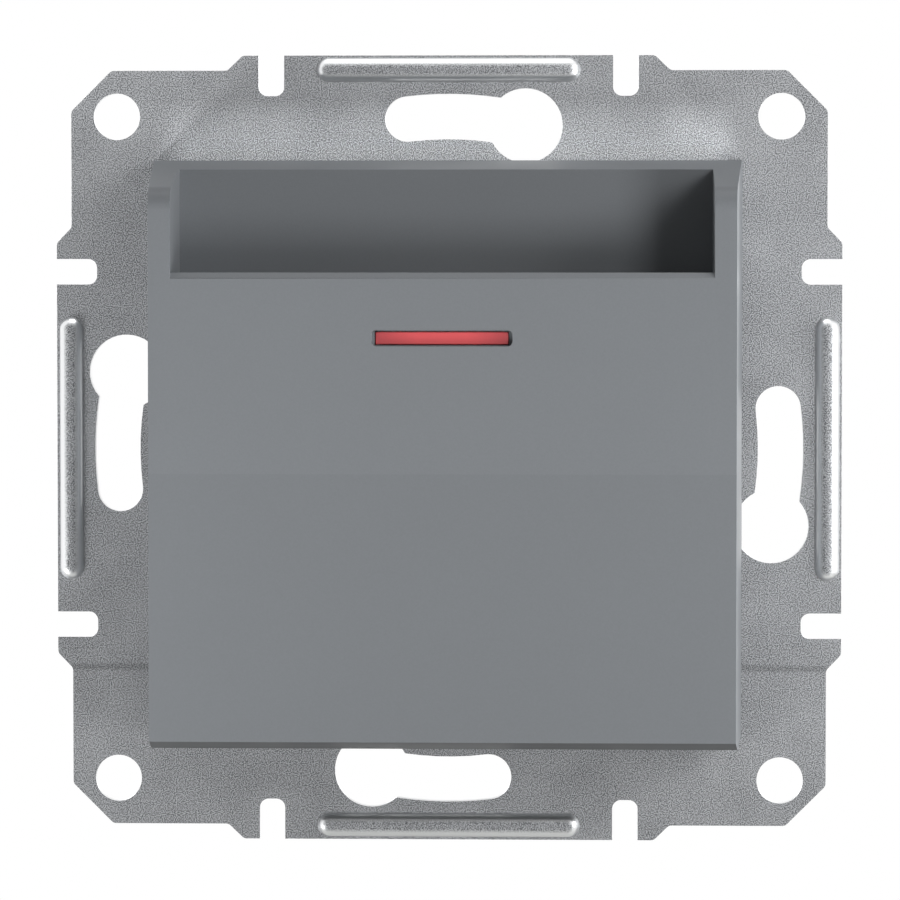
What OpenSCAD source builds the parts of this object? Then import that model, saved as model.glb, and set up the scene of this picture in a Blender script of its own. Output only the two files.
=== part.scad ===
// Hotel key card switch for a flush wall box with 60 mm fixing centres.
// A steel plate carries a moulded cover with a card pocket in front, and a switch base behind.
// Units are millimetres. The wall is the plane Y = 0, the front faces -Y, and +Z is up.

/* [Mounting plate] */
// Thickness of the steel sheet
plate_t = 1; // [0.8:0.1:1.4]
// Steel outside a fixing slot, at the ear in the middle of each edge
ear_rim = 3.45; // [3:0.05:5]
// Steel outside a corner hole, up to the set-back edge
corner_rim = 2.05; // [1.6:0.05:2.6]
// Size of the chamfer at each corner
plate_chamfer = 3.65; // [2:0.05:5]
// Rounding of the plate's outline corners
plate_corner_r = 0.6; // [0.3:0.05:1]
// Length of each ear along its edge
ear_l = 37.2; // [34:0.2:40]
// Length of the slanted step at each end of an ear
ear_step = 1.4; // [0.6:0.1:3]
// Distance between the two narrow notches of an edge
notch_pitch = 32; // [28:0.5:33]
// Width of a notch
notch_w = 2.3; // [1.8:0.1:3]
// Depth of a notch, from the ear's edge
notch_d = 3.65; // [2:0.05:4.5]
// Length of a pressed stiffening bead
bead_l = 23.8; // [14:0.2:26]
// Width of a bead
bead_w = 2.2; // [1.6:0.1:2.4]
// Flat steel between a bead and the ear's edge
bead_rim = 0.2; // [0:0.05:0.4]
// How far a bead stands out of the sheet
bead_h = 0.8; // [0.4:0.05:1]

/* [Plate holes] */
// Distance between the round corner holes, across and up
corner_pitch = 60; // [56:0.5:61]
// Diameter of a corner hole
corner_hole_d = 4.2; // [3:0.1:5]
// Diameter of the circle of fixing centres
fixing_circle_d = 60; // [59:0.5:61.5]
// Width of a curved fixing slot
fixing_slot_w = 4.1; // [3.2:0.1:4.6]
// Diameter of the keyhole end, which passes the screw's head
keyhole_d = 6.72; // [6:0.02:7]
// Angle from the axis to the slot's narrow end
slot_end_a = 7; // [4:0.5:10]
// Angle from the axis to the keyhole
keyhole_a = 13.4; // [11:0.1:16]
// Steel between a rivet's axis and the side of the middle opening
window_rim = 2.2; // [2:0.1:2.3]
// Height of the middle opening
window_h = 39; // [38:0.2:40]

/* [Front cover] */
// Width at the foot of the side walls
cover_w = 53; // [51.8:0.1:54]
// Height of the cover
cover_h = 52; // [51.6:0.1:54]
// How far the front face stands above the steel plate
cover_front = 16; // [15.6:0.1:18]
// How much each side wall leans in from foot to front face
side_set_in = 0.87; // [0:0.01:1.2]
// Gap between the cover's foot and the plate
foot_gap = 0.3; // [0.1:0.1:0.6]
// Wall thickness round the rear cavity
cover_wall = 1.6; // [1.2:0.1:1.8]
// Angle by which the top falls back
top_slope_a = 12; // [9:0.5:15]
// Height above the plate at which the top slope ends
top_slope_end = 2.6; // [1.5:0.1:3.5]
// Radius between the front face and the top slope
top_fillet_r = 2.2; // [0.8:0.1:2.5]
// Rise of the bevel along the foot of the front face
foot_bevel_h = 1; // [0.4:0.1:1.3]
// Depth of that bevel
foot_bevel_d = 4.3; // [2:0.1:6]

/* [Card pocket] */
// Width between the cheeks
pocket_w = 47.4; // [44:0.1:47.8]
// Height of the pocket's rear wall above the plate
pocket_back = 6.8; // [6.4:0.1:7.2]
// Thickness of the pocket's rear wall
pocket_wall = 1.5; // [1:0.1:1.5]
// Thickness of the shield in front of the card
shield_t = 2; // [1.8:0.1:2.4]
// Height of the shield's upper edge above the plate's centre
shield_top = 16; // [14:0.02:17]
// Chamfer along the shield's upper edge
shield_chamfer = 0.48; // [0.2:0.02:1]
// Depth below the plate's centre of the pocket's floor
pocket_floor = 18; // [16:0.1:18.4]
// Thickness of that floor
floor_t = 1.5; // [1:0.1:1.5]
// Room for the card between the side rails and the rear wall
card_gap = 2.4; // [1.6:0.1:2.6]
// Width of each side rail
card_rail_w = 3.7; // [2:0.1:6]

/* [Indicator] */
// Height of the indicator above the plate's centre
lens_z = 10.3; // [6:0.1:11]
// Length of the lens
lens_l = 11.6; // [8:0.1:13]
// Height of the lens
lens_h = 1.1; // [0.8:0.05:1.6]
// Width of the sunk frame beside the lens
lens_frame = 0.35; // [0.2:0.05:0.6]
// Width of that frame above and below the lens
lens_frame_z = 0.15; // [0.1:0.05:0.4]
// How far the lens lies behind the front face
lens_sink = 0.5; // [0.2:0.05:0.6]
// Thickness of the light guide
guide_t = 1.2; // [0.8:0.1:1.4]

/* [Lever and plunger] */
// Height of the lever's pivot above the plate's centre
pivot_z = 5.5; // [5:0.1:6]
// Height of the pivot above the plate
pivot_h = 2.9; // [2.8:0.1:3.1]
// Diameter of the pivot pin
pin_d = 2; // [1.6:0.1:2.2]
// Width of the lever
lever_w = 11.6; // [9:0.1:12]
// Thickness of the lever's arm
lever_t = 1.7; // [1.2:0.1:1.9]
// Width of the nose that the card pushes
nose_w = 6; // [4:0.1:6.4]
// How far the nose stands into the pocket
nose_out = 3.4; // [2:0.1:3.5]
// Depth of the plunger's axis below the plate's centre
plunger_drop = 6; // [5.6:0.1:6.2]
// Diameter of the plunger
plunger_d = 4; // [3:0.1:4.4]
// Full travel of the plunger
plunger_travel = 3.31; // [3:0.01:3.31]

/* [Contacts] */
// Distance between the two fixed contacts
contact_pitch = 13; // [12.6:0.1:13.4]
// Diameter of a silver contact tip
tip_d = 2.6; // [2:0.1:3.2]
// Height of a contact tip
tip_h = 0.8; // [0.5:0.05:1]
// Width of the brass bars
bar_w = 4.4; // [3.8:0.1:4.5]
// Thickness of the brass bars
bar_t = 1; // [0.8:0.05:1.2]
// Thickness of the contact bridge
bridge_t = 0.8; // [0.6:0.05:1]
// Width of the contact bridge
bridge_w = 4; // [3.6:0.1:5]
// Wire diameter of the return spring
return_wire_d = 0.5; // [0.35:0.05:0.6]
// Coil diameter of the return spring, at the wire's middle
return_coil_d = 4; // [3.4:0.1:4.8]
// Turns of the return spring
return_turns = 7; // [4:1:8]

/* [Terminals] */
// Distance between the terminals, across
terminal_pitch_x = 27.2; // [27:0.1:27.6]
// Distance between the terminals, up
terminal_pitch_z = 29; // [28.6:0.1:29.4]
// Thread diameter of a terminal screw
screw_d = 3.5; // [3:0.1:3.6]
// Head diameter of a terminal screw
screw_head_d = 5.4; // [4.8:0.1:5.8]
// Height of a screw's head
screw_head_h = 2; // [1.4:0.1:2.4]
// Width of a box clamp
clamp_w = 7; // [6.6:0.1:7.2]
// Length of a box clamp along the wire
clamp_l = 5.4; // [4.4:0.1:5.6]
// Wall thickness of a box clamp
clamp_wall = 1; // [0.8:0.05:1.1]
// Travel of a box clamp
clamp_travel = 3; // [2:0.1:3.2]
// Diameter of a wire entry
wire_hole_d = 3.6; // [3:0.1:3.8]

/* [Housing] */
// Width and height of the base inside the wall box
base_w = 42; // [41:0.2:43]
// Depth of the base behind the plate
base_d = 24; // [23.6:0.1:28]
// Distance from a rivet's axis to the side of the base's flange
flange_rim = 2.6; // [2.3:0.1:3.1]
// Thickness of the flange
flange_t = 2; // [1.5:0.1:2.5]
// Width of the groove that gives the riveting tool room
rivet_groove_w = 4.4; // [4:0.1:5]
// Room between the carrier and the cover's side walls
carrier_room = 2.1; // [1.6:0.1:2.4]
// Thickness of the carrier
carrier_t = 2; // [1.6:0.1:2.2]
// Distance from a rivet's axis to the side of the carrier
rivet_inset = 1.9; // [1.8:0.1:2]
// Distance between the rivets, up
rivet_pitch_z = 16; // [12:0.5:20]
// Diameter of a rivet
rivet_d = 2.2; // [1.8:0.1:2.4]

/* [Clearances] */
// Radial clearance of a turning or sliding fit
fit_gap = 0.06; // [0.02:0.01:0.1]
// Gap beside a piece that lies in a seat
seat_gap = 0.15; // [0.1:0.01:0.2]
// Gap left between pieces that meet end to end
touch_gap = 0.1; // [0.05:0.01:0.12]

/* [Hidden] */
$fn = 48;

// Colours
steel = "silver";
anthracite = "dimgray";
brass = "goldenrod";
copper = "peru";
silver_tip = "gainsboro";
red_lens = "firebrick";
clear = "aliceblue";
white_plastic = "whitesmoke";
grey_plastic = "slategray";
board_green = "darkgreen";

// A cut reaches this far past the face that it opens
over = 1;

// Levels along Y, with the wall at 0 and the front at negative values
plate_front = -plate_t;
cover_foot = plate_front - foot_gap;
cover_face = plate_front - cover_front;
shield_rear = cover_face + shield_t;
wall_front = plate_front - pocket_back;
wall_rear = wall_front + pocket_wall;
rail_rear = wall_front - card_gap;
carrier_front = plate_front - carrier_t;

// Plate outline
plate_w = fixing_circle_d + fixing_slot_w + 2 * ear_rim;
plate_corner_w = corner_pitch + corner_hole_d + 2 * corner_rim;

// Steps of a rounded corner of the plate
corner_steps = 3;

// Cover outline
face_w = cover_w - 2 * side_set_in;
slope_top_y = plate_front - top_slope_end;
slope_run = slope_top_y - cover_face;
slope_corner_z = cover_h / 2 - slope_run * tan(top_slope_a);
fillet_reach = top_fillet_r * tan((90 - top_slope_a) / 2);
cavity_w = cover_w - 2 * cover_wall;
cavity_h = cover_h - 2 * cover_wall;

// Carrier, rivets and the openings and flange that follow them
carrier_w = cavity_w - 2 * carrier_room;
rivet_pitch_x = carrier_w - 2 * rivet_inset;
window_w = rivet_pitch_x - 2 * window_rim;
flange_w = rivet_pitch_x + 2 * flange_rim;
flange_corner = 7.5;
base_corner = 5;

// Side rails of the pocket
rail_lead_in = 1.5;
rail_top = shield_top - 1.4;

// Lens and light guide
lens_front = cover_face + lens_sink;
lens_lip = 0.5;
lens_frame_r = 0.45;
lens_lip_t = 0.35;
lens_rear = shield_rear + touch_gap;
guide_front = lens_rear + lens_lip_t + touch_gap;
guide_rear = guide_front + guide_t;
guide_w = lens_l;
guide_top = lens_z + lens_h / 2 + lens_lip;
guide_clear = 0.4;
guide_foot_z = -(pocket_floor + floor_t + guide_clear);
guide_rail_w = 1.2;

// Lever
pivot_y = plate_front - pivot_h;
boss_r = pin_d / 2 + 0.95;
lever_rear = pivot_y;
lever_front = lever_rear - lever_t;
plunger_z = -plunger_drop;
lever_end = plunger_z - 2.5;
nose_tip_y = wall_front - nose_out;
nose_top_z = plunger_z + 4.6;
nose_tip_z = plunger_z - 0.4;
nose_round_r = 0.5;
nose_foot_z = plunger_z - 2.2;
tail_top_z = pivot_z + 4;
tail_t = 1.8;
tail_rear = carrier_front - touch_gap;
well_w = lever_w + 1.4;
well_top = pivot_z + boss_r + 0.6;
well_foot = lever_end - 2;
nose_window_w = nose_w + 1;
nose_window_top = nose_top_z + 0.4;
nose_window_foot = nose_foot_z - 2.2;
ear_t = 2.5;
lever_ear_h = 2 * boss_r + 0.5;

// Plunger set, from front to rear
dome_y = lever_rear + touch_gap + plunger_d / 2;
cap_front = 0.8;
cap_t = 2;
cap_rear = cap_front + cap_t;
cap_foot_r = 0.9;
cap_foot_x = 8.4;
collar_front = cap_rear + 0.3;
collar_t = 1;
collar_r = 3.2;
neck_r = 1.6;
bridge_front = collar_front + collar_t + 2.1;
bridge_rear = bridge_front + bridge_t;
head_front = bridge_rear + touch_gap / 2;
head_t = 1.2;
head_r = 2.6;
head_rear = head_front + head_t;
spigot_r = 1.3;
spigot_l = 1.5;
bridge_l = contact_pitch + tip_d + 0.8;
moving_tip_rear = bridge_rear + tip_h;
fixed_tip_front = moving_tip_rear + plunger_travel + touch_gap;
bar_front = fixed_tip_front + tip_h;
bar_rear = bar_front + bar_t;

// Chambers of the base
seat_w = 20;
seat_top = 8;
seat_foot = plunger_z - 3.9;
chamber_w = 18;
chamber_top = 7.4;
chamber_foot = plunger_z - 3.5;
chamber_floor = 17;
contact_x = contact_pitch / 2;
link_foot = 2.8;

// Terminals
term_x = terminal_pitch_x / 2;
term_z = terminal_pitch_z / 2;
clamp_rear_t = 1.8;
clamp_room = 3.6;
clamp_front = bar_front - clamp_room - clamp_wall;
clamp_rear = bar_rear + touch_gap + clamp_rear_t;
term_chamber_w = clamp_w + 2 * seat_gap;
term_chamber_l = clamp_l + 4 * seat_gap;
term_floor = clamp_rear + clamp_travel + 0.6;
screw_seat = term_floor + 2;
screw_tip = bar_rear + touch_gap;
wire_y = bar_front - clamp_room / 2;
screw_slot_w = 0.9;
screw_slot_d = 1.1;
strip_x = 8.4;
strip_t = 0.8;
strip_l = 2.8;
lamp_link_w = 1;
lamp_link_foot = clamp_l / 2 - term_z + seat_gap;
lamp_link_top = lamp_link_foot + lamp_link_w;
strip_foot = lamp_link_top - strip_l;

// Lamp board
board_t = 1;
board_w = 22;
board_foot = -22.4;
board_top = lamp_link_top + 0.4;
board_front = carrier_front - board_t;
peg_x = 8.6;
peg_z = -20;
peg_r = 0.8;
lamp_w = 3.2;
lamp_h = 2.6;
lamp_front = board_front - 1.3;
axial_z = -17.6;
axial_wire_r = 0.3;
axial_reach = 1.1;
resistor_x = -7;
resistor_l = 6;
resistor_r = 0.9;
diode_x = 2.6;
diode_l = 3.6;
diode_r = 0.7;

// Cover hooks, and the carrier's lugs behind which they snap
hook_z = 12;
hook_l = 6;
lug_l = 5;
lug_t = 0.95;
lug_reach = cavity_w / 2 - 0.3;
hook_reach = carrier_w / 2 + 0.4;
post_r = 2;
post_x = 17;
post_z = 17;

// Extrude an outline drawn in X and Z from y0 to y1
module along_y(y0, y1) {
    translate([0, y1, 0]) rotate([90, 0, 0]) linear_extrude(y1 - y0) children();
}

// Extrude an outline drawn in Y and Z from x0 to x1
module along_x(x0, x1) {
    translate([x0, 0, 0]) rotate([90, 0, 90]) linear_extrude(x1 - x0) children();
}

// Rod of radius r along Y, from y0 to y1
module rod_y(r, y0, y1, x = 0, z = 0) {
    translate([x, y1, z]) rotate([90, 0, 0]) cylinder(r = r, h = y1 - y0);
}

// Box between two opposite corners
module box(a, b) {
    translate(a) cube(b - a);
}

// Square of width w with its corners cut by c
module cut_square(w, c) {
    half = w / 2;
    polygon([
        [-half, c - half], [c - half, -half], [half - c, -half], [half, c - half],
        [half, half - c], [half - c, half], [c - half, half], [-half, half - c]
    ]);
}

// Rectangle about the origin with rounded corners
module round_rect(w, h, r) {
    square([w - 2 * r, h], center = true);
    square([w, h - 2 * r], center = true);
    for (sx = [-1, 1], sz = [-1, 1]) translate([sx * (w / 2 - r), sz * (h / 2 - r)]) circle(r);
}

// Copies at the four fixing points of the wall box
module each_side() {
    for (k = [0 : 3]) rotate([0, 90 * k, 0]) children();
}

// Mounting plate

// Points along one edge of the plate, turned by a degrees
function edge_points(a) = let (
    out = plate_w / 2,
    set_back = plate_corner_w / 2,
    far = set_back - plate_chamfer,
    step_end = ear_l / 2 + ear_step,
    pts = [
        [-far, set_back], [-step_end, set_back], [-ear_l / 2, out],
        [ear_l / 2, out], [step_end, set_back], [far, set_back]
    ]
) [for (p = pts) [p[0] * cos(a) + p[1] * sin(a), p[1] * cos(a) - p[0] * sin(a)]];

module notch() {
    r = notch_w * 0.35;
    foot = plate_w / 2 - notch_d;
    translate([-notch_w / 2, foot + r]) square([notch_w, notch_d]);
    translate([r - notch_w / 2, foot]) square([notch_w - 2 * r, notch_d]);
    for (s = [-1, 1]) translate([s * (notch_w / 2 - r), foot + r]) circle(r);
}

// Arc of radius r in the corner b between the points a and c
function corner_arc(a, b, c, r) = let (
    u = (a - b) / norm(a - b),
    v = (c - b) / norm(c - b),
    half = acos(u * v) / 2,
    centre = b + (u + v) / norm(u + v) * r / sin(half),
    p = b + u * r / tan(half) - centre,
    q = b + v * r / tan(half) - centre,
    turn = atan2(p[0] * q[1] - p[1] * q[0], p * q)
) [
    for (k = [0 : corner_steps]) let (t = turn * k / corner_steps)
        centre + [p[0] * cos(t) - p[1] * sin(t), p[0] * sin(t) + p[1] * cos(t)]
];

// Closed outline with all its corners rounded to the radius r
function rounded(pts, r) = let (n = len(pts)) [
    for (i = [0 : n - 1]) each corner_arc(pts[(i + n - 1) % n], pts[i], pts[(i + 1) % n], r)
];

module plate_outline() {
    difference() {
        polygon(rounded([for (k = [0 : 3]) each edge_points(90 * k)], plate_corner_r));
        for (k = [0 : 3], s = [-1, 1]) rotate(90 * k) translate([s * notch_pitch / 2, 0]) notch();
        round_rect(window_w, window_h, 2);
        for (sx = [-1, 1], sz = [-1, 1]) {
            translate([sx * corner_pitch / 2, sz * corner_pitch / 2]) circle(d = corner_hole_d);
            translate([sx * rivet_pitch_x / 2, sz * rivet_pitch_z / 2]) circle(d = rivet_d);
        }
    }
}

// One curved slot, narrow at its left end and wide at its right end
module fixing_slot() {
    r = fixing_circle_d / 2;
    depth = plate_t + 2 * over;
    translate([0, over, 0]) rotate([90, 0, 0]) {
        rotate(90 - keyhole_a) rotate_extrude(angle = slot_end_a + keyhole_a)
            translate([r - fixing_slot_w / 2, 0]) square([fixing_slot_w, depth]);
        rotate(90 + slot_end_a) translate([r, 0, 0]) cylinder(d = fixing_slot_w, h = depth);
        rotate(90 - keyhole_a) translate([r, 0, 0]) cylinder(d = keyhole_d, h = depth);
    }
}

// Round-backed ridge whose top stands rise above the level y0
module ridge(width, rise, len, y0) {
    r = (width * width / 4 + rise * rise) / (2 * rise);
    straight = len / 2 - width / 2;
    centre_z = plate_w / 2 - bead_rim - bead_w / 2;
    intersection() {
        translate([0, y0 - rise + r, centre_z]) {
            rotate([0, 90, 0]) cylinder(r = r, h = 2 * straight, center = true);
            for (s = [-1, 1]) translate([s * straight, 0, 0]) sphere(r);
        }
        box([-len / 2, y0 - rise, centre_z - width / 2], [len / 2, y0, centre_z + width / 2]);
    }
}

module mounting_plate() {
    groove_w = bead_w * 0.5;
    groove_h = bead_h * 0.6;
    color(steel) difference() {
        union() {
            along_y(plate_front, 0) plate_outline();
            each_side() ridge(bead_w, bead_h, bead_l, plate_front);
        }
        each_side() fixing_slot();
        each_side() ridge(groove_w, groove_h, bead_l - bead_w, 0);
    }
}

// Front cover

// Side view of the cover, without its hollows
module cover_side() {
    half = cover_h / 2;
    polygon([
        [cover_foot, -half],
        [cover_face + foot_bevel_d, -half],
        [cover_face, foot_bevel_h - half],
        [cover_face, slope_corner_z - fillet_reach],
        [
            cover_face + fillet_reach * cos(top_slope_a),
            slope_corner_z + fillet_reach * sin(top_slope_a)
        ],
        [slope_top_y, half],
        [cover_foot, half]
    ]);
    translate([cover_face + top_fillet_r, slope_corner_z - fillet_reach]) circle(top_fillet_r);
}

module cover_body() {
    intersection() {
        along_x(-cover_w / 2, cover_w / 2) cover_side();
        translate([0, 0, -cover_h / 2]) linear_extrude(cover_h) polygon([
            [-cover_w / 2, cover_foot], [cover_w / 2, cover_foot],
            [face_w / 2, cover_face], [-face_w / 2, cover_face]
        ]);
    }
}

// Card pocket, with the recess above the shield cut through to the front
module card_space() {
    half = pocket_w / 2;
    top = cover_h / 2 + over;
    along_x(-half, half) polygon([
        [wall_front, -pocket_floor],
        [wall_front, top],
        [cover_face - over, top],
        [cover_face - over, shield_top - shield_chamfer - over],
        [cover_face + shield_chamfer, shield_top],
        [shield_rear, shield_top],
        [shield_rear, -pocket_floor]
    ]);
}

// Slot for the lens, with the shallow frame sunk into the front face
module lens_window() {
    slot_l = lens_l + 2 * fit_gap;
    slot_h = lens_h + 2 * fit_gap;
    translate([0, 0, lens_z]) {
        along_y(cover_face - over, shield_rear + over) square([slot_l, slot_h], center = true);
        along_y(cover_face - over, lens_front)
            round_rect(lens_l + 2 * lens_frame, lens_h + 2 * lens_frame_z, lens_frame_r);
    }
}

// Rails along the pocket's sides, which keep the card near the rear wall
module card_rails() {
    half = pocket_w / 2;
    for (s = [0, 1]) mirror([s, 0, 0]) along_x(half - card_rail_w, half) polygon([
        [rail_rear, -pocket_floor], [rail_rear, rail_top - rail_lead_in],
        [rail_rear - rail_lead_in, rail_top], [shield_rear, rail_top], [shield_rear, -pocket_floor]
    ]);
}

// Ribs that hold the light guide's sides
module guide_ribs() {
    x0 = guide_w / 2 + fit_gap;
    for (s = [0, 1]) mirror([s, 0, 0]) {
        box([x0, shield_rear, -pocket_floor], [x0 + guide_rail_w, guide_rear, guide_top]);
        box(
            [x0, shield_rear, guide_foot_z - guide_t],
            [x0 + guide_rail_w, wall_rear, -pocket_floor - floor_t]
        );
    }
}

module cover_hooks() {
    wall = cavity_w / 2 + cover_wall / 4;
    lug_rear = carrier_front + lug_t;
    tip = cover_foot - 0.35;
    for (s = [0, 1], z = [-hook_z, hook_z]) mirror([s, 0, 0])
        translate([0, 0, z - hook_l / 2]) linear_extrude(hook_l) polygon([
            [wall, cover_foot], [hook_reach, tip], [hook_reach, lug_rear + touch_gap],
            [wall, lug_rear + touch_gap]
        ]);
}

module front_cover() {
    rear_half = cavity_w / 2;
    half_h = cavity_h / 2;
    color(anthracite) {
        difference() {
            cover_body();
            card_space();
            lens_window();
            box([-rear_half, wall_rear, -half_h], [rear_half, cover_foot + over, half_h]);
            box(
                [-pocket_w / 2, shield_rear, -half_h],
                [pocket_w / 2, wall_rear + over, -pocket_floor - floor_t]
            );
            box(
                [-nose_window_w / 2, wall_front - over, nose_window_foot],
                [nose_window_w / 2, wall_rear + over, nose_window_top]
            );
            box(
                [-guide_w / 2 - fit_gap, shield_rear, -pocket_floor - floor_t - over],
                [guide_w / 2 + fit_gap, guide_rear + touch_gap, over - pocket_floor]
            );
        }
        card_rails();
        guide_ribs();
        cover_hooks();
    }
}

// Indicator

module indicator_lens() {
    lip_l = lens_l - 0.8;
    color(red_lens) translate([0, 0, lens_z]) {
        along_y(lens_front, lens_rear) square([lens_l, lens_h], center = true);
        along_y(lens_rear, lens_rear + lens_lip_t)
            square([lip_l, lens_h + 2 * lens_lip], center = true);
    }
}

// Strip behind the shield that turns back below the pocket and ends in front of the lamp
module light_guide() {
    foot = guide_foot_z - guide_t;
    color(clear) along_x(-guide_w / 2, guide_w / 2) polygon([
        [guide_front, guide_top], [guide_rear, guide_top], [guide_rear, guide_foot_z],
        [lamp_front - touch_gap, guide_foot_z], [lamp_front - touch_gap, foot],
        [guide_rear, foot], [guide_front, guide_foot_z]
    ]);
}

module lamp_board() {
    color(board_green) difference() {
        box([-board_w / 2, board_front, board_foot], [board_w / 2, carrier_front, board_top]);
        for (s = [-1, 1])
            rod_y(peg_r + fit_gap, board_front - over, carrier_front + over, s * peg_x, peg_z);
    }
}

module indicator_lamp() {
    z = guide_foot_z - guide_t / 2;
    color(clear) {
        box([-lamp_w / 2, board_front - 0.6, z - lamp_h / 2], [lamp_w / 2, board_front, z + lamp_h / 2]);
        rod_y(lamp_h * 0.42, lamp_front, board_front - 0.6, 0, z);
    }
}

// Round component lying on the board, with a soldered wire at each end
module axial_part(x0, length, r) {
    wire_l = length + 2 * axial_reach;
    translate([x0, board_front - r, axial_z]) rotate([0, 90, 0]) {
        cylinder(r = r, h = length);
        translate([0, 0, -axial_reach]) cylinder(r = axial_wire_r, h = wire_l);
    }
    for (x = [x0 - axial_reach, x0 - axial_reach + wire_l])
        rod_y(axial_wire_r, board_front - r, board_front, x, axial_z);
}

module lamp_resistor() {
    color("tan") axial_part(resistor_x, resistor_l, resistor_r);
}

module lamp_diode() {
    color("black") axial_part(diode_x, diode_l, diode_r);
}

// Carrier in front of the plate

module carrier_ears() {
    r = lever_ear_h / 2;
    tip = pivot_y - 1.9;
    for (s = [0, 1]) mirror([s, 0, 0]) difference() {
        box([well_w / 2, tip, pivot_z - r], [well_w / 2 + ear_t, carrier_front, pivot_z + r]);
        translate([well_w / 2 - over, pivot_y, pivot_z]) rotate([0, 90, 0])
            cylinder(d = pin_d, h = ear_t + 2 * over);
    }
}

module mechanism_carrier() {
    color(white_plastic) {
        difference() {
            along_y(carrier_front, plate_front) cut_square(carrier_w, 3);
            box([-well_w / 2, carrier_front - over, well_foot], [well_w / 2, over, well_top]);
            for (s = [0, 1]) mirror([s, 0, 0]) box(
                [strip_x - seat_gap, carrier_front - over, strip_foot - seat_gap],
                [strip_x + strip_t + seat_gap, over, lamp_link_top + seat_gap]
            );
            for (sx = [-1, 1], sz = [-1, 1]) rod_y(
                rivet_d / 2, carrier_front - over, over, sx * rivet_pitch_x / 2, sz * rivet_pitch_z / 2
            );
            translate([-well_w / 2 - ear_t, pivot_y, pivot_z]) rotate([0, 90, 0])
                cylinder(d = pin_d, h = well_w + 2 * ear_t);
        }
        carrier_ears();
        for (sx = [-1, 1], sz = [-1, 1])
            rod_y(post_r, wall_rear, carrier_front, sx * post_x, sz * post_z);
        for (s = [-1, 1]) rod_y(peg_r, board_front - 0.6, carrier_front, s * peg_x, peg_z);
        for (s = [-1, 1]) rod_y(cap_foot_r, plate_front, cap_front - touch_gap / 2, s * cap_foot_x, 0);
        for (s = [0, 1], z = [-hook_z, hook_z]) mirror([s, 0, 0]) box(
            [carrier_w / 2 - over, carrier_front, z - lug_l / 2],
            [lug_reach, carrier_front + lug_t, z + lug_l / 2]
        );
    }
}

// Lever

module lever_pin() {
    half = well_w / 2 + ear_t;
    color(steel) translate([-half, pivot_y, pivot_z]) rotate([0, 90, 0]) cylinder(d = pin_d, h = 2 * half);
}

module card_lever() {
    color(grey_plastic) difference() {
        union() {
            along_x(-lever_w / 2, lever_w / 2) {
                polygon([
                    [lever_front, lever_end], [lever_rear, lever_end],
                    [lever_rear, pivot_z], [lever_front, pivot_z]
                ]);
                polygon([
                    [tail_rear - tail_t, pivot_z], [tail_rear, pivot_z],
                    [tail_rear, tail_top_z], [tail_rear - tail_t, tail_top_z]
                ]);
                translate([pivot_y, pivot_z]) circle(boss_r);
            }
            along_x(-nose_w / 2, nose_w / 2) {
                polygon([
                    [lever_front, nose_top_z],
                    [nose_tip_y + nose_round_r * 0.3, nose_tip_z + nose_round_r * 0.7],
                    [nose_tip_y, nose_tip_z],
                    [nose_tip_y + nose_round_r, nose_tip_z - nose_round_r],
                    [lever_front, nose_foot_z]
                ]);
                translate([nose_tip_y + nose_round_r, nose_tip_z]) circle(nose_round_r);
            }
        }
        translate([-lever_w / 2 - over, pivot_y, pivot_z]) rotate([0, 90, 0])
            cylinder(r = pin_d / 2 + fit_gap, h = lever_w + 2 * over);
    }
}

// Plunger and contacts

module plunger() {
    color(white_plastic) translate([0, 0, plunger_z]) {
        translate([0, dome_y, 0]) sphere(d = plunger_d);
        rod_y(plunger_d / 2, dome_y, collar_front + collar_t);
        rod_y(collar_r, collar_front, collar_front + collar_t);
        rod_y(neck_r, collar_front, head_rear);
        rod_y(head_r, head_front, head_rear);
        rod_y(spigot_r, head_front, head_rear + spigot_l);
    }
}

// Points of one ring of spring wire, at turn t of a coil round Y
function wire_ring(r, wire_r, y, t) = [
    for (k = [0 : 5]) let (a = 60 * k, out = r + wire_r * cos(a))
        [out * cos(360 * t), y + wire_r * sin(a), out * sin(360 * t)]
];

// Compression spring of round wire between the levels y0 and y1
module coil_spring(r, wire_d, turns, y0, y1) {
    rings_per_turn = 12;
    count = turns * rings_per_turn;
    wire_r = wire_d / 2;
    pitch = (y1 - y0 - wire_d) / turns;
    echo(spring_wire_gap = pitch - wire_d);
    points = [
        for (i = [0 : count]) let (t = i / rings_per_turn)
            each wire_ring(r, wire_r, y0 + wire_r + pitch * t, t)
    ];
    sides = [
        for (i = [0 : count - 1], k = [0 : 5])
            let (a = 6 * i + k, b = 6 * i + (k + 1) % 6)
            each [[a, a + 6, b], [b, a + 6, b + 6]]
    ];
    first = [for (k = [1 : 4]) [0, k, k + 1]];
    last = [for (k = [1 : 4]) [6 * count, 6 * count + k + 1, 6 * count + k]];
    polyhedron(points, concat(sides, first, last), convexity = 4);
}

module pressure_spring() {
    color(steel) translate([0, 0, plunger_z])
        coil_spring(2.35, 0.35, 2, collar_front + collar_t, bridge_front);
}

module return_spring() {
    color(steel) translate([0, 0, plunger_z])
        coil_spring(return_coil_d / 2, return_wire_d, return_turns, head_rear, chamber_floor);
}

module contact_bridge() {
    color(copper) translate([0, 0, plunger_z]) difference() {
        along_y(bridge_front, bridge_rear) round_rect(bridge_l, bridge_w, 1);
        rod_y(neck_r + fit_gap, bridge_front - over, bridge_rear + over);
    }
}

module bridge_tips() {
    color(silver_tip) for (s = [-1, 1])
        rod_y(tip_d / 2, bridge_rear, moving_tip_rear, s * contact_x, plunger_z);
}

module fixed_tips() {
    color(silver_tip) for (s = [-1, 1])
        rod_y(tip_d / 2, fixed_tip_front, bar_front, s * contact_x, plunger_z);
}

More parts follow.
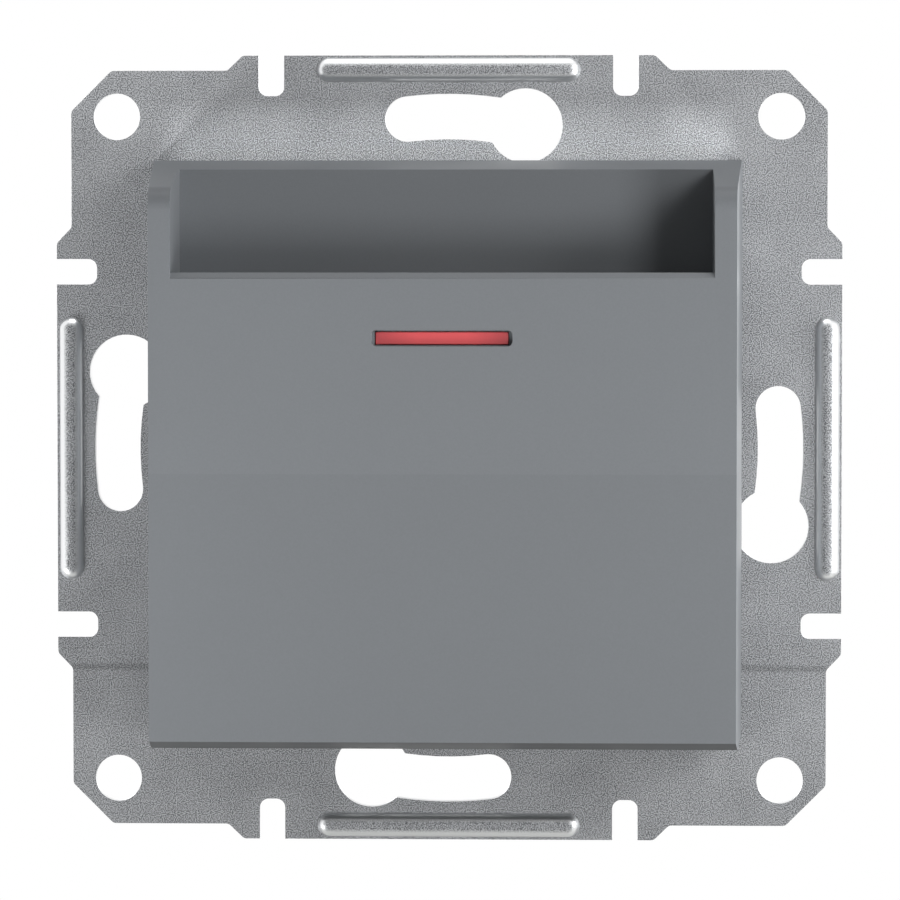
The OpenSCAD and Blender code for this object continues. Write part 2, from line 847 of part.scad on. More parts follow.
module contact_cap() {
    half = seat_w / 2 - touch_gap;
    color(white_plastic) difference() {
        box(
            [-half, cap_front, seat_foot + touch_gap],
            [half, cap_rear, seat_top - touch_gap]
        );
        rod_y(plunger_d / 2 + fit_gap, cap_front - over, cap_rear + over, 0, plunger_z);
    }
}

// Outline of a switch bar, from its terminal to below its contact, grown by extra
module switch_bar_outline(extra = 0) {
    half = bar_w / 2;
    foot = plunger_z - half;
    outer = term_x + half + extra;
    translate([term_x - half - extra, link_foot - extra])
        square([bar_w + 2 * extra, term_z + clamp_l / 2 - link_foot + 2 * extra]);
    translate([contact_x - half - extra, link_foot - extra])
        square([outer - contact_x + half + extra, bar_w + 2 * extra]);
    translate([contact_x - half - extra, foot - extra])
        square([bar_w + 2 * extra, link_foot - foot + bar_w + 2 * extra]);
}

module line_bar() {
    color(brass) along_y(bar_front, bar_rear) switch_bar_outline();
}

module load_bar() {
    mirror([1, 0, 0]) line_bar();
}

// Outline of a lamp bar, from its terminal to the strip that runs forward, grown by extra
module lamp_bar_outline(extra = 0) {
    outer = term_x + bar_w / 2 + extra;
    foot = -term_z - clamp_l / 2 - extra;
    top = lamp_link_top + extra;
    translate([term_x - bar_w / 2 - extra, foot]) square([bar_w + 2 * extra, top - foot]);
    translate([strip_x - extra, lamp_link_foot - extra])
        square([outer - strip_x + extra, lamp_link_w + 2 * extra]);
}

module lamp_live_bar() {
    color(brass) {
        along_y(bar_front, bar_rear) lamp_bar_outline();
        box([strip_x, carrier_front, strip_foot], [strip_x + strip_t, bar_rear, lamp_link_top]);
    }
}

module lamp_neutral_bar() {
    mirror([1, 0, 0]) lamp_live_bar();
}

// Base behind the plate

module terminal_space(sx, sz) {
    half_w = term_chamber_w / 2;
    half_l = term_chamber_l / 2;
    x = sx * term_x;
    z = sz * term_z;
    box([x - half_w, plate_front - over, z - half_l], [x + half_w, term_floor, z + half_l]);
    rod_y(screw_d / 2 + 0.1, term_floor - over, screw_seat + over, x, z);
    rod_y(screw_head_d / 2 + 0.2, screw_seat, base_d + over, x, z);
    translate([x, wire_y, min(z, z + sz * base_w)]) cylinder(d = wire_hole_d, h = base_w);
}

module base_body() {
    boss_w = window_w - 2 * touch_gap;
    boss_h = window_h - 2 * touch_gap;
    along_y(plate_front, over) round_rect(boss_w, boss_h, 2);
    along_y(0, flange_t) cut_square(flange_w, flange_corner);
    along_y(0, base_d) cut_square(base_w, base_corner);
}

module base_hollows() {
    front = plate_front - over;
    box([-seat_w / 2, front, seat_foot], [seat_w / 2, cap_rear, seat_top]);
    box([-chamber_w / 2, front, chamber_foot], [chamber_w / 2, chamber_floor, chamber_top]);
    for (sx = [-1, 1], sz = [-1, 1]) terminal_space(sx, sz);
    for (s = [0, 1]) mirror([s, 0, 0]) {
        along_y(front, bar_rear) switch_bar_outline(seat_gap);
        along_y(front, bar_rear) lamp_bar_outline(seat_gap);
        box(
            [strip_x - seat_gap, front, strip_foot - seat_gap],
            [strip_x + strip_t + seat_gap, bar_rear, lamp_link_top]
        );
    }
    for (sx = [-1, 1], sz = [-1, 1]) {
        x = sx * rivet_pitch_x / 2;
        z = sz * rivet_pitch_z / 2;
        rod_y(rivet_d / 2, front, flange_t + over, x, z);
        rod_y(rivet_groove_w / 2, flange_t, base_d + over, x, z);
    }
}

module switch_base() {
    color(grey_plastic) {
        difference() {
            base_body();
            base_hollows();
        }
        rod_y(spigot_r, chamber_floor - spigot_l, chamber_floor + over, 0, plunger_z);
    }
}

module rivets() {
    head_r = rivet_d / 2 + 0.6;
    head_h = 0.7;
    color(steel) for (sx = [-1, 1], sz = [-1, 1]) {
        x = sx * rivet_pitch_x / 2;
        z = sz * rivet_pitch_z / 2;
        rod_y(rivet_d / 2, carrier_front, flange_t, x, z);
        rod_y(head_r, carrier_front - head_h, carrier_front, x, z);
        rod_y(head_r, flange_t, flange_t + head_h, x, z);
    }
}

// Terminals

module terminal_screw(sx, sz) {
    color(steel) translate([sx * term_x, 0, sz * term_z]) difference() {
        union() {
            rod_y(screw_d / 2, screw_tip, screw_seat);
            rod_y(screw_head_d / 2, screw_seat, screw_seat + screw_head_h);
        }
        box(
            [-screw_head_d, screw_seat + screw_head_h - screw_slot_d, -screw_slot_w / 2],
            [screw_head_d, screw_seat + screw_head_h + over, screw_slot_w / 2]
        );
    }
}

// Box clamp: a loop round the bar and the wire, with the screw's thread in its rear wall
module terminal_clamp(sx, sz) {
    inner = clamp_w / 2 - clamp_wall;
    color(brass) translate([sx * term_x, 0, sz * term_z]) difference() {
        box([-clamp_w / 2, clamp_front, -clamp_l / 2], [clamp_w / 2, clamp_rear, clamp_l / 2]);
        box(
            [-inner, clamp_front + clamp_wall, -clamp_l],
            [inner, clamp_rear - clamp_rear_t, clamp_l]
        );
        rod_y(screw_d / 2 + fit_gap, bar_rear, clamp_rear + over);
    }
}

module line_screw() { terminal_screw(1, 1); }
module load_screw() { terminal_screw(-1, 1); }
module lamp_live_screw() { terminal_screw(1, -1); }
module lamp_neutral_screw() { terminal_screw(-1, -1); }
module line_clamp() { terminal_clamp(1, 1); }
module load_clamp() { terminal_clamp(-1, 1); }
module lamp_live_clamp() { terminal_clamp(1, -1); }
module lamp_neutral_clamp() { terminal_clamp(-1, -1); }

mounting_plate();
front_cover();
indicator_lens();
light_guide();
mechanism_carrier();
lever_pin();
card_lever();
plunger();
pressure_spring();
contact_bridge();
bridge_tips();
return_spring();
contact_cap();
line_bar();
load_bar();
fixed_tips();
lamp_board();
indicator_lamp();
lamp_resistor();
lamp_diode();
lamp_live_bar();
lamp_neutral_bar();
switch_base();
rivets();
line_screw();
load_screw();
lamp_live_screw();
lamp_neutral_screw();
line_clamp();
load_clamp();
lamp_live_clamp();
lamp_neutral_clamp();
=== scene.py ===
"""Looks of a hotel key card switch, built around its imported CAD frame.

The steel plate, the moulded cover with its card pocket, the red indicator and the switch
mechanism behind them keep their CAD shapes and get their real finishes here. Springs and
terminal screws are rebuilt with round wire and real threads, and the lamp board gets its solder.
"""

from __future__ import annotations

import logging
import math
from collections.abc import Callable
from dataclasses import dataclass, field
from enum import Enum
from functools import partial

import bmesh
import bpy
from mathutils import Matrix, Vector

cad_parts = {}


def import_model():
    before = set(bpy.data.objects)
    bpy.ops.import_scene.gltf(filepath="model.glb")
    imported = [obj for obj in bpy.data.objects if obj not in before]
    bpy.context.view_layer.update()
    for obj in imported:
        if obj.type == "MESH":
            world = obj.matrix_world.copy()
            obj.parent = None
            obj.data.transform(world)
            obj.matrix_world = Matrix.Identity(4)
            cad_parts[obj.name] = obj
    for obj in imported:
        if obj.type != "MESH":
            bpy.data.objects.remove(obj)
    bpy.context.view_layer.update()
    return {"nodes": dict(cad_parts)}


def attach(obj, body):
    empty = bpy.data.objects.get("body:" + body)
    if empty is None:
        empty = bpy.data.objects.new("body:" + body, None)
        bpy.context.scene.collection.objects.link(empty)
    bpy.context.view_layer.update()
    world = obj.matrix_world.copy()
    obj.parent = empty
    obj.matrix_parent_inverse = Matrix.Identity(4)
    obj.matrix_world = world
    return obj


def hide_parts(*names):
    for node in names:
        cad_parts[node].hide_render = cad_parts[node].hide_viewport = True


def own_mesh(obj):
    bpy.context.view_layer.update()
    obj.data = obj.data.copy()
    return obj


LOG = logging.getLogger("key_card_switch")
MM = 0.001
# Two points of a mesh this near to each other are one.
SAME_SPOT = 0.001 * MM

Colour = tuple[float, float, float, float]
Point = tuple[float, float, float]
# A change of value: start and end of what is measured, and the value at each.
Ramp = tuple[float, float, float, float]
Mesh = bpy.types.Mesh
Node = bpy.types.Node
Object = bpy.types.Object
Socket = bpy.types.NodeSocket
Nodes = dict[str, Object]
# Named sizes: whole numbers for counts and others for lengths.
Sizes = dict[str, float | int]
# Inputs of a node by name or number, or in order. A Mix node has its factor at 0 and its two
# colours at 6 and 7.
Inputs = dict[int | str, object] | tuple[object, ...]
# Adds a node to one tree, as add_node does.
Adder = Callable[..., Node]


def srgb(code: str) -> Colour:
    """Turns an sRGB hex colour into Blender's linear one.

    Args:
        code: Six hex digits, with or without a leading hash.

    Returns:
        Linear red, green, blue and an alpha of one.
    """
    digits = code.lstrip("#")
    parts = [int(digits[i : i + 2], 16) / 255 for i in (0, 2, 4)]
    low, slope = 0.04045, 12.92
    linear = [p / slope if p <= low else ((p + 0.055) / 1.055) ** 2.4 for p in parts]
    return (linear[0], linear[1], linear[2], 1.0)


def add_node(
    tree: bpy.types.NodeTree, kind: str, inputs: Inputs = (), **settings: object
) -> Node:
    """Adds a node with its settings and links.

    Args:
        tree: The tree that gets the node.
        kind: Blender's name for the node.
        inputs: What each input socket gets, by its name or number or in the sockets' order: a
            value, the socket that feeds it, or a node, whose first live output feeds it.
        settings: Values for the node's own properties.

    Returns:
        The new node.
    """
    node = tree.nodes.new(kind)
    for name, value in settings.items():
        setattr(node, name, value)
    for key, value in inputs.items() if isinstance(inputs, dict) else enumerate(inputs):
        if isinstance(value, Node):
            value = next(out for out in value.outputs if out.enabled)
        if isinstance(value, Socket):
            tree.links.new(value, node.inputs[key])
        else:
            node.inputs[key].default_value = value
    return node


# Finishes


@dataclass(frozen=True)
class Finish:
    """A finish: one principled shader, fed by the finish's own pattern in object coordinates."""

    name: str

    def material(self) -> bpy.types.Material:
        """Builds the material once and hands out the same one after that.

        Returns:
            The material.
        """
        # The frame's plain materials may have the same names, so the built ones are marked.
        known = bpy.data.materials.get(self.name)
        if known is not None and known.get("finished"):
            return known
        made = bpy.data.materials.new(self.name)
        made.use_nodes = True
        made["finished"] = True
        made.node_tree.nodes.clear()
        add = partial(add_node, made.node_tree)
        place = add("ShaderNodeTexCoord")
        shader = add("ShaderNodeBsdfPrincipled", self.shade(add, place))
        add("ShaderNodeOutputMaterial", {"Surface": shader})
        return made

    def shade(self, add: Adder, place: Node) -> Inputs:
        """Draws the finish's pattern.

        Args:
            add: Adds a node to the material.
            place: The node with the object coordinates and the normal.

        Returns:
            What the shader's inputs get.
        """
        raise NotImplementedError


@dataclass(frozen=True)
class GalvanisedSheet(Finish):
    """Zinc-coated steel sheet, skin-passed: a grey speckle of bright and dark zinc grains.

    Faces that the press tool bent are smoother and more metallic, with a painted highlight on
    them. The leveller left one dark crease, the zinc gets painted light that grows slowly from
    bottom to top, and the front has a band of painted light above the cover.
    """

    name: str = "galvanised_steel_sheet"
    dark_grain: str = "#3a3c3f"
    light_grain: str = "#c4c6c9"
    # A painted highlight on faces that the press tool bent.
    painted_highlight: str = "#f0f1f2"
    grain: float = 0.1 * MM
    grain_share: Ramp = (0.44, 0.56, 0.0, 0.7)
    cloud: float = 5 * MM
    cloud_share: float = 0.24
    # The crease by the distance from its own height, and the slow rise of painted light by height.
    crease_z: float = -19.86 * MM
    crease: Ramp = (0.1 * MM, 0.45 * MM, 0.74, 1.0)
    rise: Ramp = (-16 * MM, 30 * MM, 0.94, 1.1)
    # The band of painted light by the normal's Y, the distance from the middle and the height.
    painted_light_band_front: Ramp = (-0.9, -0.3, 1.2, 0.0)
    painted_light_band_across: Ramp = (23.4 * MM, 27 * MM, 1.0, 0.0)
    painted_light_band_below: Ramp = (23 * MM, 26 * MM, 0.0, 1.0)
    painted_light_band_above: Ramp = (26 * MM, 31.5 * MM, 1.0, 0.0)
    # How bent a face is by the size of the normal's Y, and what it gets for that.
    bent: Ramp = (0.97, 0.82, 0.0, 1.0)
    bent_rough: Ramp = (0.0, 1.0, 0.52, 0.3)
    bent_metal: Ramp = (0.0, 1.0, 0.45, 1.0)

    def shade(self, add: Adder, place: Node) -> Inputs:
        """Speckles the zinc, creases it, paints light on it, and paints a highlight on bent faces.

        Args:
            add: Adds a node to the material.
            place: The node with the object coordinates and the normal.

        Returns:
            What the shader's inputs get.
        """
        here = place.outputs["Object"]
        speck = add(
            "ShaderNodeTexNoise",
            {"Vector": here, "Scale": 1 / self.grain, "Detail": 1.5, "Roughness": 0.7},
        )
        clouds = add(
            "ShaderNodeTexNoise",
            {"Vector": here, "Scale": 1 / self.cloud, "Detail": 2.0, "Roughness": 0.6},
        )
        spread = add("ShaderNodeMapRange", (speck, *self.grain_share))
        mix = add("ShaderNodeMath", (clouds, self.cloud_share, spread), operation="MULTIPLY_ADD")
        zinc = add(
            "ShaderNodeMix",
            {0: mix, 6: srgb(self.dark_grain), 7: srgb(self.light_grain)},
            data_type="RGBA",
        )
        parts = add("ShaderNodeSeparateXYZ", (here,))
        facing = add("ShaderNodeSeparateXYZ", (place.outputs["Normal"],))
        # The gain holds the crease, painted light rising to the top and a band of painted light.
        gain = add(
            "ShaderNodeMath",
            (self.crease_and_top_light(add, parts), self.painted_light_band(add, parts, facing)),
            operation="MULTIPLY",
        )
        toned = add(
            "ShaderNodeMix", {0: 1.0, 6: zinc, 7: gain}, data_type="RGBA", blend_type="MULTIPLY"
        )
        flat = add("ShaderNodeMath", (facing.outputs[1],), operation="ABSOLUTE")
        bent = add("ShaderNodeMapRange", (flat, *self.bent))
        # Bent faces get the painted highlight.
        highlighted = add(
            "ShaderNodeMix", {0: bent, 6: toned, 7: srgb(self.painted_highlight)}, data_type="RGBA"
        )
        relief = add("ShaderNodeBump", {"Strength": 0.35, "Distance": 0.01 * MM, "Height": speck})
        return {
            "Base Color": highlighted,
            "Roughness": add("ShaderNodeMapRange", (bent, *self.bent_rough)),
            "Metallic": add("ShaderNodeMapRange", (bent, *self.bent_metal)),
            "Normal": relief,
        }

    def crease_and_top_light(self, add: Adder, parts: Node) -> Node:
        """Darkens the leveller's crease and paints light on the zinc that grows from bottom to
        top.

        Args:
            add: Adds a node to the material.
            parts: The node with the separate object coordinates.

        Returns:
            The node with the tone that the zinc is multiplied by.
        """
        above = add("ShaderNodeMath", (parts.outputs[2], self.crease_z), operation="SUBTRACT")
        off = add("ShaderNodeMath", (above,), operation="ABSOLUTE")
        crease = add("ShaderNodeMapRange", (off, *self.crease), interpolation_type="SMOOTHSTEP")
        # Painted light, growing slowly from bottom to top.
        rise = add("ShaderNodeMapRange", (parts.outputs[2], *self.rise))
        return add("ShaderNodeMath", (crease, rise), operation="MULTIPLY")

    def painted_light_band(self, add: Adder, parts: Node, facing: Node) -> Node:
        """Paints light on the band above the cover, on the front only.

        Args:
            add: Adds a node to the material.
            parts: The node with the separate object coordinates.
            facing: The node with the separate parts of the normal.

        Returns:
            The node with the gain, one outside the band of painted light.
        """
        off = add("ShaderNodeMath", (parts.outputs[0],), operation="ABSOLUTE")
        across = add(
            "ShaderNodeMapRange", (off, *self.painted_light_band_across), interpolation_type="SMOOTHSTEP"
        )
        top = add("ShaderNodeMapRange", (parts.outputs[2], *self.painted_light_band_above))
        foot = add("ShaderNodeMapRange", (parts.outputs[2], *self.painted_light_band_below))
        front = add("ShaderNodeMapRange", (facing.outputs[1], *self.painted_light_band_front))
        band = add("ShaderNodeMath", (across, top), operation="MULTIPLY")
        band = add("ShaderNodeMath", (band, foot), operation="MULTIPLY")
        return add("ShaderNodeMath", (band, front, 1.0), operation="MULTIPLY_ADD")


@dataclass(frozen=True)
class SparkErodedPlastic(Finish):
    """Anthracite polycarbonate from a spark-eroded mould: an even satin grain, no gloss.

    The real grain is finer and is drawn just coarse enough to show. The front has a faint step
    of tone across it, and faces that look down get painted shade, as dark as the photograph
    shows them.
    """

    name: str = "anthracite_polycarbonate"
    body: str = "#85898d"
    grain_dark: str = "#7f8286"
    grain: float = 0.14 * MM
    cloud: float = 9 * MM
    cloud_share: float = 0.25
    # The step of tone by height, and the painted shade of faces that look down by the normal's Z.
    step: Ramp = (-1.6 * MM, -1.5 * MM, 0.95, 1.0)
    underside_shade: Ramp = (-0.9, -0.3, 0.28, 1.0)

    def shade(self, add: Adder, place: Node) -> Inputs:
        """Grains the plastic, steps its tone across the front and paints shade on what looks down.

        Args:
            add: Adds a node to the material.
            place: The node with the object coordinates and the normal.

        Returns:
            What the shader's inputs get.
        """
        here = place.outputs["Object"]
        speck = add(
            "ShaderNodeTexNoise",
            {"Vector": here, "Scale": 1 / self.grain, "Detail": 1.0, "Roughness": 0.6},
        )
        clouds = add(
            "ShaderNodeTexNoise", {"Vector": here, "Scale": 1 / self.cloud, "Detail": 1.0}
        )
        blend = add("ShaderNodeMath", (clouds, self.cloud_share, speck), operation="MULTIPLY_ADD")
        tone = add(
            "ShaderNodeMix",
            {0: blend, 6: srgb(self.grain_dark), 7: srgb(self.body)},
            data_type="RGBA",
        )
        parts = add("ShaderNodeSeparateXYZ", (here,))
        step = add(
            "ShaderNodeMapRange", (parts.outputs[2], *self.step), interpolation_type="SMOOTHSTEP"
        )
        facing = add("ShaderNodeSeparateXYZ", (place.outputs["Normal"],))
        # Painted shade on faces that look down.
        under = add("ShaderNodeMapRange", (facing.outputs[2], *self.underside_shade))
        shade = add("ShaderNodeMath", (step, under), operation="MULTIPLY")
        toned = add(
            "ShaderNodeMix", {0: 1.0, 6: tone, 7: shade}, data_type="RGBA", blend_type="MULTIPLY"
        )
        relief = add("ShaderNodeBump", {"Strength": 0.25, "Distance": 0.01 * MM, "Height": speck})
        return {
            "Base Color": toned,
            "Normal": relief,
            "Roughness": 0.5,
            "IOR": 1.58,
            "Specular IOR Level": 0.2,
        }


@dataclass(frozen=True)
class TintedLens(Finish):
    """Red-tinted polycarbonate with a frosted rear: a painted glow, brightest mid-length."""

    name: str = "red_tinted_polycarbonate"
    # A painted glow of the lamp behind the lens, fading to the edge red.
    painted_glow: str = "#fb6166"
    edge: str = "#d44e54"
    half_l: float = 5.8 * MM
    even_share: float = 0.2
    frost: float = 0.3 * MM
    frost_share: float = 0.2

    def shade(self, add: Adder, place: Node) -> Inputs:
        """Grades the red from a painted glow in the middle to the ends, with a faint frost in it.

        Args:
            add: Adds a node to the material.
            place: The node with the object coordinates and the normal.

        Returns:
            What the shader's inputs get.
        """
        here = place.outputs["Object"]
        parts = add("ShaderNodeSeparateXYZ", (here,))
        reach = add("ShaderNodeMath", (parts.outputs[0],), operation="ABSOLUTE")
        fade = add(
            "ShaderNodeMapRange",
            (reach, self.even_share * self.half_l, self.half_l, 1.0, 0.0),
            interpolation_type="SMOOTHSTEP",
        )
        frost = add("ShaderNodeTexNoise", {"Vector": here, "Scale": 1 / self.frost})
        amount = add(
            "ShaderNodeMath",
            (frost, self.frost_share, fade),
            operation="MULTIPLY_ADD",
            use_clamp=True,
        )
        tone = add(
            "ShaderNodeMix", {0: amount, 6: srgb(self.edge), 7: srgb(self.painted_glow)}, data_type="RGBA"
        )
        return {
            "Base Color": tone,
            "Roughness": 0.32,
            "IOR": 1.58,
            "Transmission Weight": 0.15,
        }


@dataclass(frozen=True)
class ClearAcrylic(Finish):
    """Clear acrylic with faint moulding waves, slightly frosted in patches along the waves."""

    name: str = "clear_acrylic"
    tint: str = "#eef3f4"
    wave: float = 1.6 * MM
    rough: Ramp = (0.3, 0.7, 0.06, 0.2)

    def shade(self, add: Adder, place: Node) -> Inputs:
        """Lets light through and gives the surface slow moulding waves.

        Args:
            add: Adds a node to the material.
            place: The node with the object coordinates and the normal.

        Returns:
            What the shader's inputs get.
        """
        waves = add(
            "ShaderNodeTexNoise",
            {"Vector": place.outputs["Object"], "Scale": 1 / self.wave, "Detail": 2.0},
        )
        relief = add("ShaderNodeBump", {"Strength": 0.2, "Distance": 0.02 * MM, "Height": waves})
        return {
            "Base Color": srgb(self.tint),
            "Roughness": add("ShaderNodeMapRange", (waves, *self.rough)),
            "Normal": relief,
            "IOR": 1.49,
            "Transmission Weight": 0.9,
        }


@dataclass(frozen=True)
class MouldedNylon(Finish):
    """Glass-filled nylon as moulded: a matte skin with faint flow marks and fibre flecks."""

    name: str
    skin: str
    fleck: str
    rough: float = 0.55
    flow: float = 4 * MM
    fibre: float = 0.3 * MM
    fleck_share: Ramp = (0.12, 0.42, 0.0, 1.0)

    def shade(self, add: Adder, place: Node) -> Inputs:
        """Draws flow marks a few millimetres wide with fine flecks in them.

        Args:
            add: Adds a node to the material.
            place: The node with the object coordinates and the normal.

        Returns:
            What the shader's inputs get.
        """
        here = place.outputs["Object"]
        flow = add(
            "ShaderNodeTexNoise",
            {"Vector": here, "Scale": 1 / self.flow, "Detail": 3.0, "Distortion": 0.8},
        )
        flecks = add(
            "ShaderNodeTexNoise", {"Vector": here, "Scale": 1 / self.fibre, "Detail": 1.0}
        )
        both = add("ShaderNodeMath", (flow, flecks), operation="MULTIPLY")
        amount = add("ShaderNodeMapRange", (both, *self.fleck_share))
        tone = add(
            "ShaderNodeMix", {0: amount, 6: srgb(self.skin), 7: srgb(self.fleck)}, data_type="RGBA"
        )
        relief = add("ShaderNodeBump", {"Strength": 0.2, "Distance": 0.02 * MM, "Height": flecks})
        return {"Base Color": tone, "Normal": relief, "Roughness": self.rough, "IOR": 1.53}


@dataclass(frozen=True)
class WorkedMetal(Finish):
    """Metal as rolled, drawn or plated: fine scratches along one axis and slow tarnish clouds."""

    name: str
    bright: str
    tarnish: str
    rough: float = 0.3
    along: Point = (1.0, 1.0, 0.08)
    # Real scratches are finer and are drawn just coarse enough to show.
    scratch: float = 0.12 * MM
    scratch_share: tuple[float, float] = (0.3, 0.7)
    smoother: float = 0.08
    rougher: float = 0.12
    cloud: float = 2.5 * MM
    cloud_share: Ramp = (0.35, 0.72, 0.0, 1.0)

    def shade(self, add: Adder, place: Node) -> Inputs:
        """Stretches a fine noise into scratches and darkens the metal in clouds.

        Args:
            add: Adds a node to the material.
            place: The node with the object coordinates and the normal.

        Returns:
            What the shader's inputs get.
        """
        here = place.outputs["Object"]
        stretched = add("ShaderNodeMapping", {"Vector": here, "Scale": self.along})
        lines = add(
            "ShaderNodeTexNoise", {"Vector": stretched, "Scale": 1 / self.scratch, "Detail": 2.0}
        )
        clouds = add(
            "ShaderNodeTexNoise", {"Vector": here, "Scale": 1 / self.cloud, "Detail": 3.0}
        )
        amount = add("ShaderNodeMapRange", (clouds, *self.cloud_share))
        tone = add(
            "ShaderNodeMix",
            {0: amount, 6: srgb(self.bright), 7: srgb(self.tarnish)},
            data_type="RGBA",
        )
        rough = add(
            "ShaderNodeMapRange",
            (lines, *self.scratch_share, self.rough - self.smoother, self.rough + self.rougher),
        )
        relief = add("ShaderNodeBump", {"Strength": 0.15, "Distance": 0.01 * MM, "Height": lines})
        return {"Base Color": tone, "Roughness": rough, "Normal": relief, "Metallic": 1.0}


@dataclass(frozen=True)
class BoardLaminate(Finish):
    """Glass-epoxy laminate under green lacquer: the woven glass shows through as a fine grid."""

    name: str = "lacquered_glass_laminate"
    lacquer: str = "#1d5a35"
    weave: str = "#2a6f45"
    thread: float = 0.5 * MM

    def shade(self, add: Adder, place: Node) -> Inputs:
        """Crosses two sets of threads below a glossy lacquer.

        Args:
            add: Adds a node to the material.
            place: The node with the object coordinates and the normal.

        Returns:
            What the shader's inputs get.
        """
        # At scale 1 the wave node's bands stand tau / 20 apart.
        scale = math.tau / 20 / self.thread
        warp, weft = (
            add(
                "ShaderNodeTexWave",
                {"Vector": place.outputs["Object"], "Scale": scale, "Distortion": 0.6},
                bands_direction=axis,
            ).outputs[1]
            for axis in ("X", "Z")
        )
        grid = add("ShaderNodeMath", (warp, weft), operation="MULTIPLY")
        tone = add(
            "ShaderNodeMix",
            {0: grid, 6: srgb(self.lacquer), 7: srgb(self.weave)},
            data_type="RGBA",
        )
        return {"Base Color": tone, "Roughness": 0.28, "IOR": 1.5}


@dataclass(frozen=True)
class Ring:
    """A ring of colour round a component, by the middle and half width of its place along X."""

    middle: float
    half: float
    tone: str


@dataclass(frozen=True)
class RingedBody(Finish):
    """A lacquered component body with rings of colour, and tinned wires beyond its ends."""

    name: str
    body: str
    rings: tuple[Ring, ...]
    start: float
    end: float
    rough: float = 0.3
    tin: str = "#b8babb"
    lap: float = 0.01 * MM

    def shade(self, add: Adder, place: Node) -> Inputs:
        """Paints the rings by their place along X, and the wires as tin.

        Args:
            add: Adds a node to the material.
            place: The node with the object coordinates and the normal.

        Returns:
            What the shader's inputs get.
        """
        parts = add("ShaderNodeSeparateXYZ", (place.outputs["Object"],))
        tone: object = srgb(self.body)
        for ring in self.rings:
            on_ring = add(
                "ShaderNodeMath", (parts.outputs[0], ring.middle, ring.half), operation="COMPARE"
            )
            tone = add(
                "ShaderNodeMix", {0: on_ring, 6: tone, 7: srgb(ring.tone)}, data_type="RGBA"
            )
        middle, half = (self.start + self.end) / 2, (self.end - self.start) / 2
        inside = add(
            "ShaderNodeMath", (parts.outputs[0], middle, half + self.lap), operation="COMPARE"
        )
        skin = add("ShaderNodeMix", {0: inside, 6: srgb(self.tin), 7: tone}, data_type="RGBA")
        wire = add("ShaderNodeMath", (1.0, inside), operation="SUBTRACT")
        return {"Base Color": skin, "Metallic": wire, "Roughness": self.rough}


GALVANISED = GalvanisedSheet()
ANTHRACITE = SparkErodedPlastic()
RED_LENS = TintedLens()
CLEAR = ClearAcrylic()
LAMINATE = BoardLaminate()
# Nylon for the inner mouldings is left white, for the base and the lever it is dyed grey.
WHITE_NYLON = MouldedNylon("white_glass_filled_nylon", "#dddcd6", "#cfcec7", 0.5)
GREY_NYLON = MouldedNylon("grey_glass_filled_nylon", "#5d6063", "#6b6e71", 0.55)
# Zinc on steel is pale and a little dull. Bare drawn wire is darker and smoother.
ZINC_PLATE = WorkedMetal("zinc_plated_steel", "#c6c7c6", "#a9abac", 0.32)
SPRING_WIRE = WorkedMetal("drawn_spring_steel", "#b9babb", "#96989a", 0.26)
# Stamped brass is a warm yellow that browns in clouds, and rolled copper is redder.
BRASS = WorkedMetal("stamped_brass", "#d9b665", "#c09a4b", 0.3)
COPPER = WorkedMetal("rolled_copper", "#d99a78", "#b87350", 0.3)
# Contact silver is almost white, and tin solder greyer. Neither has a direction.
SILVER = WorkedMetal("contact_silver", "#e6e6e3", "#cfcfcb", 0.22, (1.0, 1.0, 1.0))
SOLDER = WorkedMetal("tin_solder", "#c9cbcb", "#aeb1b2", 0.22, (1.0, 1.0, 1.0))


# Shared shaping

# Edges sharper than this are rounded, and faces flatter than this to each other are joined.
SHARP = math.radians(32)
FLAT = math.radians(0.4)
EDGE_STEPS = 2


def soften(node: Object, width: float) -> None:
    """Rounds a CAD node's sharp edges with live modifiers, leaving its own mesh alone.

    Args:
        node: The CAD node's object.
        width: Width of the rounding, in metres.
    """
    mesh = node.data
    if "custom_normal" in mesh.attributes:
        mesh.attributes.remove(mesh.attributes["custom_normal"])
    mesh.polygons.foreach_set("use_smooth", [True] * len(mesh.polygons))
    weld = node.modifiers.new("join_triangles", "WELD")
    weld.merge_threshold = SAME_SPOT
    flats = node.modifiers.new("flat_faces", "DECIMATE")
    flats.decimate_type = "DISSOLVE"
    flats.angle_limit = FLAT
    edges = node.modifiers.new("edge_rounding", "BEVEL")
    edges.width = width
    edges.segments = EDGE_STEPS
    edges.limit_method = "ANGLE"
    edges.angle_limit = SHARP
    edges.use_clamp_overlap = True
    edges.harden_normals = True
    edges.miter_outer = "MITER_ARC"


def dress(nodes: Nodes, name: str, finish: Finish, width: float) -> None:
    """Gives a CAD node its finish and its rounded edges.

    Args:
        nodes: The CAD nodes by name.
        name: The node to dress.
        finish: Its finish.
        width: Width of the edge rounding, in metres.
    """
    node = nodes[name]
    node.data.materials.clear()
    node.data.materials.append(finish.material())
    soften(node, width)
    LOG.info("dressed %s with %s", name, finish.name)


def new_piece(name: str, mesh: Mesh, finish: Finish, body: str) -> Object:
    """Puts a finished mesh into the scene as a piece at the origin that rides on a body.

    Args:
        name: The piece's name.
        mesh: Its mesh, in the row frame and in metres.
        finish: Its finish.
        body: The body that it rides on.

    Returns:
        The piece.
    """
    mesh.materials.clear()
    mesh.materials.append(finish.material())
    mesh.name = name
    piece = bpy.data.objects.new(name, mesh)
    bpy.context.scene.collection.objects.link(piece)
    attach(piece, body)
    LOG.info("built %s", name)
    return piece


